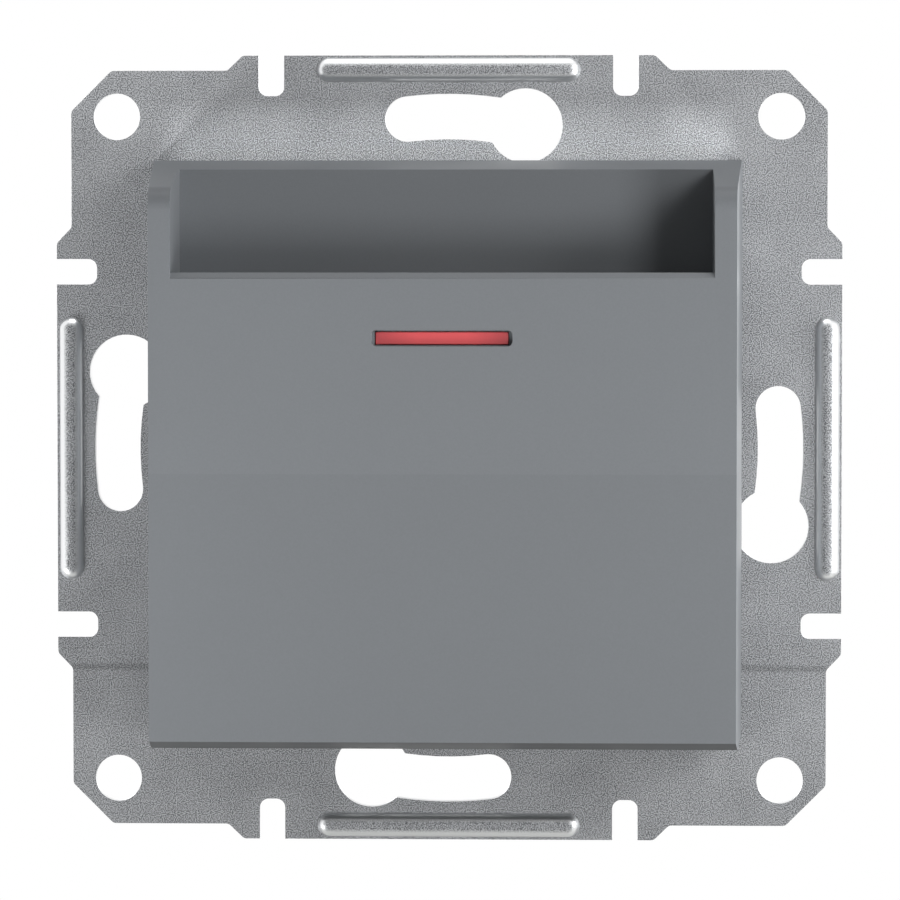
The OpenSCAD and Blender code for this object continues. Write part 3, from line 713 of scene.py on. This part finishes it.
class NodeShape:
    """A Geometry Nodes tree that draws one shape from named sizes and is baked to a mesh."""

    def __init__(self, name: str, sizes: Sizes) -> None:
        """Opens the tree with its named inputs.

        Args:
            name: The tree's name.
            sizes: The inputs.
        """
        self.sizes = sizes
        self.tree = bpy.data.node_groups.new(name, "GeometryNodeTree")
        self.add = partial(add_node, self.tree)
        self.keys: dict[str, str] = {}
        for label, value in sizes.items():
            kind = "NodeSocketInt" if isinstance(value, int) else "NodeSocketFloat"
            socket = self.tree.interface.new_socket(label, in_out="INPUT", socket_type=kind)
            self.keys[label] = socket.identifier
        self.tree.interface.new_socket(
            "Geometry", in_out="OUTPUT", socket_type="NodeSocketGeometry"
        )
        self.entry = self.add("NodeGroupInput")

    def size(self, label: str) -> Socket:
        """The socket of a named size."""
        return self.entry.outputs[label]

    def bake(self, geometry: Node, finish: Finish) -> Mesh:
        """Ends the tree, runs it once and returns the plain mesh.

        Args:
            geometry: The node that gives the shape.
            finish: The finish for all its faces.

        Returns:
            The baked mesh.
        """
        real = self.add("GeometryNodeRealizeInstances", (geometry,))
        painted = self.add(
            "GeometryNodeSetMaterial", {"Geometry": real, "Material": finish.material()}
        )
        self.add("NodeGroupOutput", (painted,))
        host = bpy.data.objects.new("host", bpy.data.meshes.new("host"))
        bpy.context.scene.collection.objects.link(host)
        run = host.modifiers.new("shape", "NODES")
        run.node_group = self.tree
        for label, value in self.sizes.items():
            run[self.keys[label]] = value
        seen = host.evaluated_get(bpy.context.evaluated_depsgraph_get())
        mesh = bpy.data.meshes.new_from_object(seen)
        host.modifiers.remove(run)
        bpy.data.objects.remove(host)
        bpy.data.node_groups.remove(self.tree)
        return mesh


class TurnedShape(NodeShape):
    """A shape rolled up from a grid round Z, whose first and last rows close its ends."""

    def __init__(self, name: str, sizes: Sizes, around: int, rows: int) -> None:
        """Opens the tree with the flat grid and the place of each of its points.

        Args:
            name: The tree's name.
            sizes: The inputs for lengths.
            around: How many points the grid has across, its seam counted twice.
            rows: How many rows it has, the two closing ones included.
        """
        super().__init__(name, {**sizes, "Around": around, "Rows": rows})
        add, rows_in = self.add, self.size("Rows")
        self.grid = add("GeometryNodeMeshGrid", (1.0, 1.0, self.size("Around"), rows_in))
        # The grid is one wide and one high about zero.
        place = add("GeometryNodeInputPosition")
        u, v, _ = add("ShaderNodeSeparateXYZ", (place,)).outputs
        self.share = add("ShaderNodeMath", (u, 0.5), operation="ADD")
        self.last = add("ShaderNodeMath", (rows_in, 1.0), operation="SUBTRACT")
        self.row = add("ShaderNodeMapRange", (v, -0.5, 0.5, 0.0, self.last))
        top = add("ShaderNodeMath", (self.last, 1.0), operation="SUBTRACT")
        self.rise = add("ShaderNodeMapRange", (self.row, 1.0, top, 0.0, 1.0))

    def close(self, radius: Node, height: Node, finish: Finish) -> Mesh:
        """Rolls the grid up, draws its ends in to the axis and joins what then meets.

        Args:
            radius: The node with each point's distance from the axis.
            height: The node with its place along the axis.
            finish: The finish for all its faces.

        Returns:
            The closed mesh.
        """
        add = self.add
        # Only the rows between the first and the last keep a distance from the axis.
        half = add("ShaderNodeMath", (self.last, 0.5), operation="MULTIPLY")
        reach = add("ShaderNodeMath", (half, 0.5), operation="SUBTRACT")
        side = add("ShaderNodeMath", (self.row, half, reach), operation="COMPARE")
        radius = add("ShaderNodeMath", (radius, side), operation="MULTIPLY")
        turn = add("ShaderNodeMath", (self.share, math.tau), operation="MULTIPLY")
        x, y = (
            add(
                "ShaderNodeMath",
                (radius, add("ShaderNodeMath", (turn,), operation=wave)),
                operation="MULTIPLY",
            )
            for wave in ("COSINE", "SINE")
        )
        to = add("ShaderNodeCombineXYZ", (x, y, height))
        moved = add("GeometryNodeSetPosition", {"Geometry": self.grid, "Position": to})
        closed = add("GeometryNodeMergeByDistance", {"Geometry": moved, "Distance": SAME_SPOT})
        return self.bake(closed, finish)


# Sub-assemblies


@dataclass
class SteelPlate:
    """The stamped mounting plate with its rivets."""

    rolled_edge: float = 0.22 * MM
    rivet_edge: float = 0.3 * MM

    def dress(self, nodes: Nodes) -> None:
        """Gives the sheet its zinc and the rolled-over edges that a press tool leaves."""
        dress(nodes, "mounting_plate", GALVANISED, self.rolled_edge)
        dress(nodes, "rivets", ZINC_PLATE, self.rivet_edge)


@dataclass
class MouldedCover:
    """The anthracite cover with the card pocket."""

    edge: float = 0.14 * MM

    def dress(self, nodes: Nodes) -> None:
        """Gives the cover its satin grain and small moulded edge radii."""
        dress(nodes, "front_cover", ANTHRACITE, self.edge)


@dataclass
class Indicator:
    """Lens, light guide and the small lamp board with its components and solder."""

    moulded_edge: float = 0.08 * MM
    board_edge: float = 0.05 * MM
    component_edge: float = 0.12 * MM
    board_front: float = -4 * MM
    resistor_ends: tuple[float, float] = (-7 * MM, -1 * MM)
    resistor_rings: tuple[Ring, ...] = (
        Ring(-6.1 * MM, 0.24 * MM, "#5a3a22"),
        Ring(-5.1 * MM, 0.24 * MM, "#1b1b1b"),
        Ring(-4.1 * MM, 0.24 * MM, "#c8702a"),
        Ring(-1.8 * MM, 0.24 * MM, "#b8913a"),
    )
    diode_ends: tuple[float, float] = (2.6 * MM, 6.2 * MM)
    cathode_ring: Ring = Ring(5.5 * MM, 0.3 * MM, "#c9cacb")
    lead_z: float = -17.6 * MM
    lead_x: tuple[float, ...] = (-8.1 * MM, 0.1 * MM, 1.5 * MM, 7.3 * MM)
    wire_r: float = 0.3 * MM
    joint_r: float = 0.62 * MM
    joint_h: float = 0.5 * MM
    joint_sunk: float = 0.02 * MM
    # The power by which a joint's side falls in.
    hollow: float = 2.2
    around: int = 20
    rows: int = 10

    def dress(self, nodes: Nodes) -> None:
        """Dresses the lens, guide, lamp, board and the two wired components.

        Args:
            nodes: The CAD nodes by name.
        """
        dress(nodes, "indicator_lens", RED_LENS, self.moulded_edge)
        dress(nodes, "light_guide", CLEAR, self.moulded_edge)
        dress(nodes, "indicator_lamp", CLEAR, self.moulded_edge)
        dress(nodes, "lamp_board", LAMINATE, self.board_edge)
        # Beige lacquer with rings for its value, and black epoxy with a ring at its cathode.
        resistor = RingedBody(
            "lacquered_resistor", "#c7a878", self.resistor_rings, *self.resistor_ends, 0.35
        )
        diode = RingedBody(
            "moulded_epoxy_diode", "#232425", (self.cathode_ring,), *self.diode_ends, 0.25
        )
        dress(nodes, "lamp_resistor", resistor, self.component_edge)
        dress(nodes, "lamp_diode", diode, self.component_edge)

    def build_solder(self) -> Object:
        """Sets a solder fillet round each component wire.

        Returns:
            The piece with all the joints.
        """
        one = self.fillet()
        joints = bmesh.new()
        for x in self.lead_x:
            start = len(joints.verts)
            joints.from_mesh(one)
            joints.verts.ensure_lookup_table()
            for vert in joints.verts[start:]:
                right, up, out = vert.co
                vert.co = (
                    right + x,
                    self.board_front - out + self.joint_sunk,
                    up + self.lead_z,
                )
        bmesh.ops.recalc_face_normals(joints, faces=joints.faces)
        mesh = bpy.data.meshes.new("solder_joints")
        joints.to_mesh(mesh)
        joints.free()
        bpy.data.meshes.remove(one)
        mesh.polygons.foreach_set("use_smooth", [True] * len(mesh.polygons))
        return new_piece("solder_joints", mesh, SOLDER, "housing")

    def fillet(self) -> Mesh:
        """Turns one hollow-sided fillet that stands along Z.

        Returns:
            The fillet's mesh, with its foot at zero.
        """
        sizes = {"Foot Radius": self.joint_r, "Wire Radius": self.wire_r, "Height": self.joint_h}
        shape = TurnedShape("solder_fillet", sizes, self.around, self.rows)
        add, wire_r = shape.add, shape.size("Wire Radius")
        left = add("ShaderNodeMath", (1.0, shape.rise), operation="SUBTRACT")
        curve = add("ShaderNodeMath", (left, self.hollow), operation="POWER")
        spare = add("ShaderNodeMath", (shape.size("Foot Radius"), wire_r), operation="SUBTRACT")
        radius = add("ShaderNodeMath", (curve, spare, wire_r), operation="MULTIPLY_ADD")
        height = add("ShaderNodeMath", (shape.rise, shape.size("Height")), operation="MULTIPLY")
        return shape.close(radius, height, SOLDER)


@dataclass
class CoilSpring:
    """A compression spring of round wire, with closed end coils, along Y."""

    name: str
    node: str
    coil_r: float
    wire_d: float
    turns: float
    start_y: float
    end_y: float
    body: str = "contact_set"
    axis_z: float = -6 * MM
    steps: int = 28
    around: int = 12

    def build(self) -> Object:
        """Winds the spring and lets it stand for its CAD node.

        Returns:
            The spring piece.
        """
        mesh = self.wind()
        mesh.transform(
            Matrix.Translation((0, self.start_y, self.axis_z))
            @ Matrix.Rotation(math.radians(-90), 4, "X")
        )
        mesh.polygons.foreach_set("use_smooth", [True] * len(mesh.polygons))
        shell = bmesh.new()
        shell.from_mesh(mesh)
        bmesh.ops.remove_doubles(shell, verts=shell.verts, dist=SAME_SPOT)
        bmesh.ops.recalc_face_normals(shell, faces=shell.faces)
        shell.to_mesh(mesh)
        shell.free()
        piece = new_piece(self.name, mesh, SPRING_WIRE, self.body)
        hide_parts(self.node)
        return piece

    def wind(self) -> Mesh:
        """Draws the wire along a spiral round Z whose end coils lie closed.

        Returns:
            The wire's mesh, with its first end at zero.
        """
        shape = NodeShape(
            self.name,
            {
                "Coil Radius": self.coil_r,
                "Wire": self.wire_d,
                "Turns": self.turns,
                "Length": self.end_y - self.start_y,
                "Steps": self.steps,
                "Around": self.around,
            },
        )
        add, coil_r = shape.add, shape.size("Coil Radius")
        wire, turns, length = (shape.size(label) for label in ("Wire", "Turns", "Length"))
        spiral = add(
            "GeometryNodeCurveSpiral",
            {
                "Resolution": shape.size("Steps"),
                "Rotations": turns,
                "Start Radius": coil_r,
                "End Radius": coil_r,
                "Height": length,
            },
        )
        place = add("GeometryNodeInputPosition")
        x, y, z = add("ShaderNodeSeparateXYZ", (place,)).outputs
        turn = add("ShaderNodeMapRange", (z, 0.0, length, 0.0, turns))
        last = add("ShaderNodeMath", (turns, 1.0), operation="SUBTRACT")
        free = add("ShaderNodeMath", (wire, -3.0, length), operation="MULTIPLY_ADD")
        # Each end coil climbs by the wire's thickness, half a thickness lies beyond either end of
        # the path, and the coils between share the rest.
        height = add("ShaderNodeMath", (wire, 0.5), operation="MULTIPLY")
        for start, end, climb in ((0.0, 1.0, wire), (1.0, last, free), (last, turns, wire)):
            part = add("ShaderNodeMapRange", (turn, start, end, 0.0, climb))
            height = add("ShaderNodeMath", (height, part), operation="ADD")
        to = add("ShaderNodeCombineXYZ", (x, y, height))
        wound = add("GeometryNodeSetPosition", {"Geometry": spiral, "Position": to})
        radius = add("ShaderNodeMath", (wire, 0.5), operation="MULTIPLY")
        section = add(
            "GeometryNodeCurvePrimitiveCircle",
            {"Resolution": shape.size("Around"), "Radius": radius},
        )
        swept = add(
            "GeometryNodeCurveToMesh",
            {"Curve": wound, "Profile Curve": section, "Fill Caps": True},
        )
        return shape.bake(swept, SPRING_WIRE)


class Terminal(Enum):
    """A terminal of the base, by the side and the row that it stands in."""

    LINE = (1, 1)
    LOAD = (-1, 1)
    LAMP_LIVE = (1, -1)
    LAMP_NEUTRAL = (-1, -1)


@dataclass
class TerminalScrew:
    """A slotted terminal screw: the CAD node's own head on a shank with a real thread."""

    terminal: Terminal
    shank_r: float = 1.75 * MM
    pitch: float = 0.6 * MM
    thread_depth: float = 0.36 * MM
    flank: float = 0.4
    seat_y: float = 20.51 * MM
    tip_y: float = 13.11 * MM
    pitch_x: float = 27.2 * MM
    pitch_z: float = 29 * MM
    head_neck: float = 0.1 * MM
    head_edge: float = 0.1 * MM
    sunk: float = 0.02 * MM
    around: int = 40
    rows: int = 150

    def build(self, nodes: Nodes) -> Object:
        """Threads the shank, joins the head to it and lets the piece stand for the node.

        Args:
            nodes: The CAD nodes by name.

        Returns:
            The screw piece.
        """
        node = f"{self.terminal.name.lower()}_screw"
        shank = self.thread()
        across, up = self.terminal.value
        shank.transform(
            Matrix.Translation(
                (across * self.pitch_x / 2, self.seat_y - self.sunk, up * self.pitch_z / 2)
            )
            @ Matrix.Rotation(math.radians(90), 4, "X")
        )
        whole = self.head(nodes[node].data)
        whole.from_mesh(shank)
        bmesh.ops.recalc_face_normals(whole, faces=whole.faces)
        mesh = bpy.data.meshes.new(node)
        whole.to_mesh(mesh)
        whole.free()
        bpy.data.meshes.remove(shank)
        piece = new_piece(f"{node}_threaded", mesh, ZINC_PLATE, node)
        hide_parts(node)
        return piece

    def head(self, screw: Mesh) -> bmesh.types.BMesh:
        """Cuts the head off the CAD screw and rounds it as a heading tool leaves it.

        Args:
            screw: The CAD node's mesh, which is left alone.

        Returns:
            The closed head, for more to be joined to it.
        """
        shell = bmesh.new()
        shell.from_mesh(screw)
        bmesh.ops.remove_doubles(shell, verts=shell.verts, dist=SAME_SPOT)
        cut = bmesh.ops.bisect_plane(
            shell,
            geom=[*shell.verts, *shell.edges, *shell.faces],
            dist=0.1 * SAME_SPOT,
            plane_co=(0, self.seat_y - self.head_neck, 0),
            plane_no=(0, 1, 0),
            clear_inner=True,
        )
        rim = [e for e in cut["geom_cut"] if isinstance(e, bmesh.types.BMEdge)]
        bmesh.ops.holes_fill(shell, edges=rim)
        bmesh.ops.dissolve_limit(shell, angle_limit=FLAT, verts=shell.verts, edges=shell.edges)
        sharp = [
            e for e in shell.edges if len(e.link_faces) == 2 and e.calc_face_angle(0) > SHARP
        ]
        bmesh.ops.bevel(
            shell,
            geom=sharp,
            offset=self.head_edge,
            segments=EDGE_STEPS,
            profile=0.5,
            affect="EDGES",
            clamp_overlap=True,
        )
        return shell

    def thread(self) -> Mesh:
        """Turns the threaded shank along Z, from zero down its length.

        Returns:
            The closed shank mesh.
        """
        sizes = {
            "Radius": self.shank_r,
            "Depth": self.thread_depth,
            "Pitch": self.pitch,
            "Length": self.seat_y - self.tip_y - self.sunk,
        }
        shape = TurnedShape("threaded_shank", sizes, self.around + 1, self.rows)
        add, outer = shape.add, shape.size("Radius")
        height = add("ShaderNodeMath", (shape.rise, shape.size("Length")), operation="MULTIPLY")
        pitches = add("ShaderNodeMath", (height, shape.size("Pitch")), operation="DIVIDE")
        # The thread falls from crest to root over its flank, a share of the pitch.
        phase = add("ShaderNodeMath", (pitches, shape.share), operation="SUBTRACT")
        off = add("ShaderNodeMath", (phase, 0.5), operation="PINGPONG")
        root = add("ShaderNodeMath", (outer, shape.size("Depth")), operation="SUBTRACT")
        radius = add("ShaderNodeMapRange", (off, 0.0, self.flank, outer, root))
        return shape.close(radius, height, ZINC_PLATE)


@dataclass
class CardMechanism:
    """Carrier, lever, plunger and the springs that push them out again."""

    carrier_edge: float = 0.1 * MM
    lever_edge: float = 0.12 * MM
    plunger_edge: float = 0.08 * MM
    return_spring: CoilSpring = field(
        default_factory=lambda: CoilSpring(
            "return_spring_wire",
            "return_spring",
            coil_r=2 * MM,
            wire_d=0.5 * MM,
            turns=8.0,
            start_y=8.25 * MM,
            end_y=17 * MM,
        )
    )
    pressure_spring: CoilSpring = field(
        default_factory=lambda: CoilSpring(
            "pressure_spring_wire",
            "pressure_spring",
            coil_r=2.35 * MM,
            wire_d=0.35 * MM,
            turns=3.2,
            start_y=4.1 * MM,
            end_y=6.2 * MM,
        )
    )
    return_keep: float = 0.625

    def dress(self, nodes: Nodes) -> None:
        """Dresses the moulded and turned pieces.

        Args:
            nodes: The CAD nodes by name.
        """
        dress(nodes, "mechanism_carrier", WHITE_NYLON, self.carrier_edge)
        dress(nodes, "lever_pin", ZINC_PLATE, self.lever_edge)
        dress(nodes, "card_lever", GREY_NYLON, self.lever_edge)
        dress(nodes, "plunger", WHITE_NYLON, self.plunger_edge)
        dress(nodes, "contact_cap", WHITE_NYLON, self.carrier_edge)

    def build_springs(self) -> None:
        """Winds both springs, and gives the return spring a mesh of its own."""
        back = self.return_spring
        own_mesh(back.build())
        self.pressure_spring.build()


@dataclass
class Contacts:
    """The moving bridge, the fixed bars and the lamp's feed bars."""

    edge: float = 0.08 * MM
    tip_edge: float = 0.2 * MM

    def dress(self, nodes: Nodes) -> None:
        """Dresses the stamped bars, the bridge and the silver tips.

        Args:
            nodes: The CAD nodes by name.
        """
        for name in ("line_bar", "load_bar", "lamp_live_bar", "lamp_neutral_bar"):
            dress(nodes, name, BRASS, self.edge)
        dress(nodes, "contact_bridge", COPPER, self.edge)
        for name in ("bridge_tips", "fixed_tips"):
            dress(nodes, name, SILVER, self.tip_edge)


@dataclass
class RearBase:
    """The base in the wall box with its terminals."""

    edge: float = 0.2 * MM
    clamp_edge: float = 0.15 * MM

    def dress(self, nodes: Nodes) -> None:
        """Dresses the base and the clamps.

        Args:
            nodes: The CAD nodes by name.
        """
        dress(nodes, "switch_base", GREY_NYLON, self.edge)
        for terminal in Terminal:
            dress(nodes, f"{terminal.name.lower()}_clamp", BRASS, self.clamp_edge)

    def build_screws(self, nodes: Nodes) -> None:
        """Builds the four threaded screws."""
        for terminal in Terminal:
            TerminalScrew(terminal).build(nodes)


# Studio


@dataclass(frozen=True)
class SoftBox:
    """A rectangular studio light that faces the object, unseen by the camera."""

    name: str
    place: Point
    width: float
    height: float
    watts: float
    aim: Point = (0.0, -0.008, 0.0)

    def build(self) -> None:
        """Hangs the light up."""
        lamp = bpy.data.lights.new(self.name, "AREA")
        lamp.shape = "RECTANGLE"
        lamp.size = self.width
        lamp.size_y = self.height
        lamp.energy = self.watts
        held = aimed(self.name, lamp, self.place, self.aim)
        held.visible_camera = False


def aimed(name: str, data: bpy.types.ID, place: Point, aim: Point) -> Object:
    """Puts a light or a camera in its place and turns it to what it faces.

    Args:
        name: The object's name.
        data: The light's or camera's data.
        place: Where it stands.
        aim: The point that it faces.

    Returns:
        The object.
    """
    held = bpy.data.objects.new(name, data)
    bpy.context.scene.collection.objects.link(held)
    held.location = place
    ray = Vector(aim) - Vector(place)
    held.rotation_euler = ray.to_track_quat("-Z", "Y").to_euler()
    return held


# The low left box stands below the floor's level, where the floor has begun to fade, and
# shines up through it.
BOXES = (
    SoftBox("left_low_box", (-0.11, -0.07, -0.1), 0.05, 0.06, 1.7),
    SoftBox("right_skim_box", (0.12, -0.045, -0.01), 0.03, 0.06, 0.045),
    SoftBox("right_wide_box", (0.3, -0.16, 0.12), 0.1, 0.12, 0.26),
    SoftBox("right_high_box", (0.22, -0.3, 0.12), 0.1, 0.12, 0.29),
    SoftBox("right_low_box", (0.22, -0.3, -0.1), 0.1, 0.12, 0.42),
    SoftBox("top_box", (0.0, -0.03, 0.35), 0.2, 0.06, 0.33),
    SoftBox("rear_left_box", (-0.22, 0.28, 0.1), 0.2, 0.2, 1.1, (0.0, 0.02, 0.0)),
    SoftBox("rear_right_box", (0.22, 0.28, 0.1), 0.2, 0.2, 0.8, (0.0, 0.02, 0.0)),
)


@dataclass
class Studio:
    """Soft boxes, a white surround, a pale floor and the photograph's camera."""

    boxes: tuple[SoftBox, ...] = BOXES
    ambient: float = 0.02
    floor_z: float = -0.075
    floor_r: float = 0.22
    floor_solid: float = 0.4
    floor_sides: int = 96
    floor_tone: str = "#dcdcda"
    lens: float = 184.2
    sensor: float = 36.0
    near: float = 0.01
    far: float = 10.0
    camera_place: Point = (0.0152, -0.417, 0.0178)
    camera_aim: Point = (0.00014, -0.001, -0.00011)

    def build(self) -> None:
        """Sets up the world, the lights, the floor and the camera."""
        self.build_world()
        for box in self.boxes:
            box.build()
        self.build_floor()
        self.build_camera()
        bpy.context.scene.view_settings.view_transform = "Standard"

    def build_world(self) -> None:
        """A white surround for what is seen, mirrored or seen through, and a soft fill light."""
        world = bpy.data.worlds.new("white_surround")
        bpy.context.scene.world = world
        world.use_nodes = True
        world.node_tree.nodes.clear()
        add = partial(add_node, world.node_tree)
        path = add("ShaderNodeLightPath").outputs
        seen = path["Is Camera Ray"]
        for ray in ("Is Glossy Ray", "Is Transmission Ray"):
            seen = add("ShaderNodeMath", (seen, path[ray]), operation="MAXIMUM")
        level = add("ShaderNodeMapRange", (seen, 0.0, 1.0, self.ambient, 1.0))
        sky = add("ShaderNodeBackground", {"Color": (1.0, 1.0, 1.0, 1.0), "Strength": level})
        add("ShaderNodeOutputWorld", {"Surface": sky})

    def build_floor(self) -> None:
        """A pale round floor below the object that fades into the white surround."""
        disc = bmesh.new()
        bmesh.ops.create_circle(
            disc, cap_ends=True, segments=self.floor_sides, radius=self.floor_r
        )
        mesh = bpy.data.meshes.new("studio_floor")
        disc.to_mesh(mesh)
        disc.free()
        mesh.transform(Matrix.Translation((0, 0, self.floor_z)))
        floor = bpy.data.objects.new("studio_floor", mesh)
        bpy.context.scene.collection.objects.link(floor)
        paint = bpy.data.materials.new("pale_floor_paint")
        paint.use_nodes = True
        paint.node_tree.nodes.clear()
        add = partial(add_node, paint.node_tree)
        place = add("ShaderNodeTexCoord").outputs["Object"]
        x, y, _ = add("ShaderNodeSeparateXYZ", (place,)).outputs
        across = add("ShaderNodeCombineXYZ", (x, y))
        away = add("ShaderNodeVectorMath", (across,), operation="LENGTH")
        fade = add(
            "ShaderNodeMapRange",
            (away, self.floor_solid * self.floor_r, self.floor_r, 0.0, 1.0),
            interpolation_type="SMOOTHSTEP",
        )
        matte = add("ShaderNodeBsdfDiffuse", {"Color": srgb(self.floor_tone)})
        clear = add("ShaderNodeBsdfTransparent")
        mixed = add("ShaderNodeMixShader", (fade, matte, clear))
        add("ShaderNodeOutputMaterial", {"Surface": mixed})
        mesh.materials.append(paint)

    def build_camera(self) -> None:
        """The camera where the photograph was taken from."""
        view = bpy.data.cameras.new("photo_camera")
        view.sensor_width = self.sensor
        view.lens = self.lens
        view.clip_start = self.near
        view.clip_end = self.far
        camera = aimed("photo_camera", view, self.camera_place, self.camera_aim)
        bpy.context.scene.camera = camera


def main() -> None:
    """Builds the sub-assemblies in order."""
    logging.basicConfig(level=logging.INFO, format="%(name)s: %(message)s")
    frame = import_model()
    nodes = frame["nodes"]
    Studio().build()
    SteelPlate().dress(nodes)
    MouldedCover().dress(nodes)
    indicator = Indicator()
    indicator.dress(nodes)
    indicator.build_solder()
    mechanism = CardMechanism()
    mechanism.dress(nodes)
    mechanism.build_springs()
    Contacts().dress(nodes)
    base = RearBase()
    base.dress(nodes)
    base.build_screws(nodes)


if __name__ == "__main__":
    main()
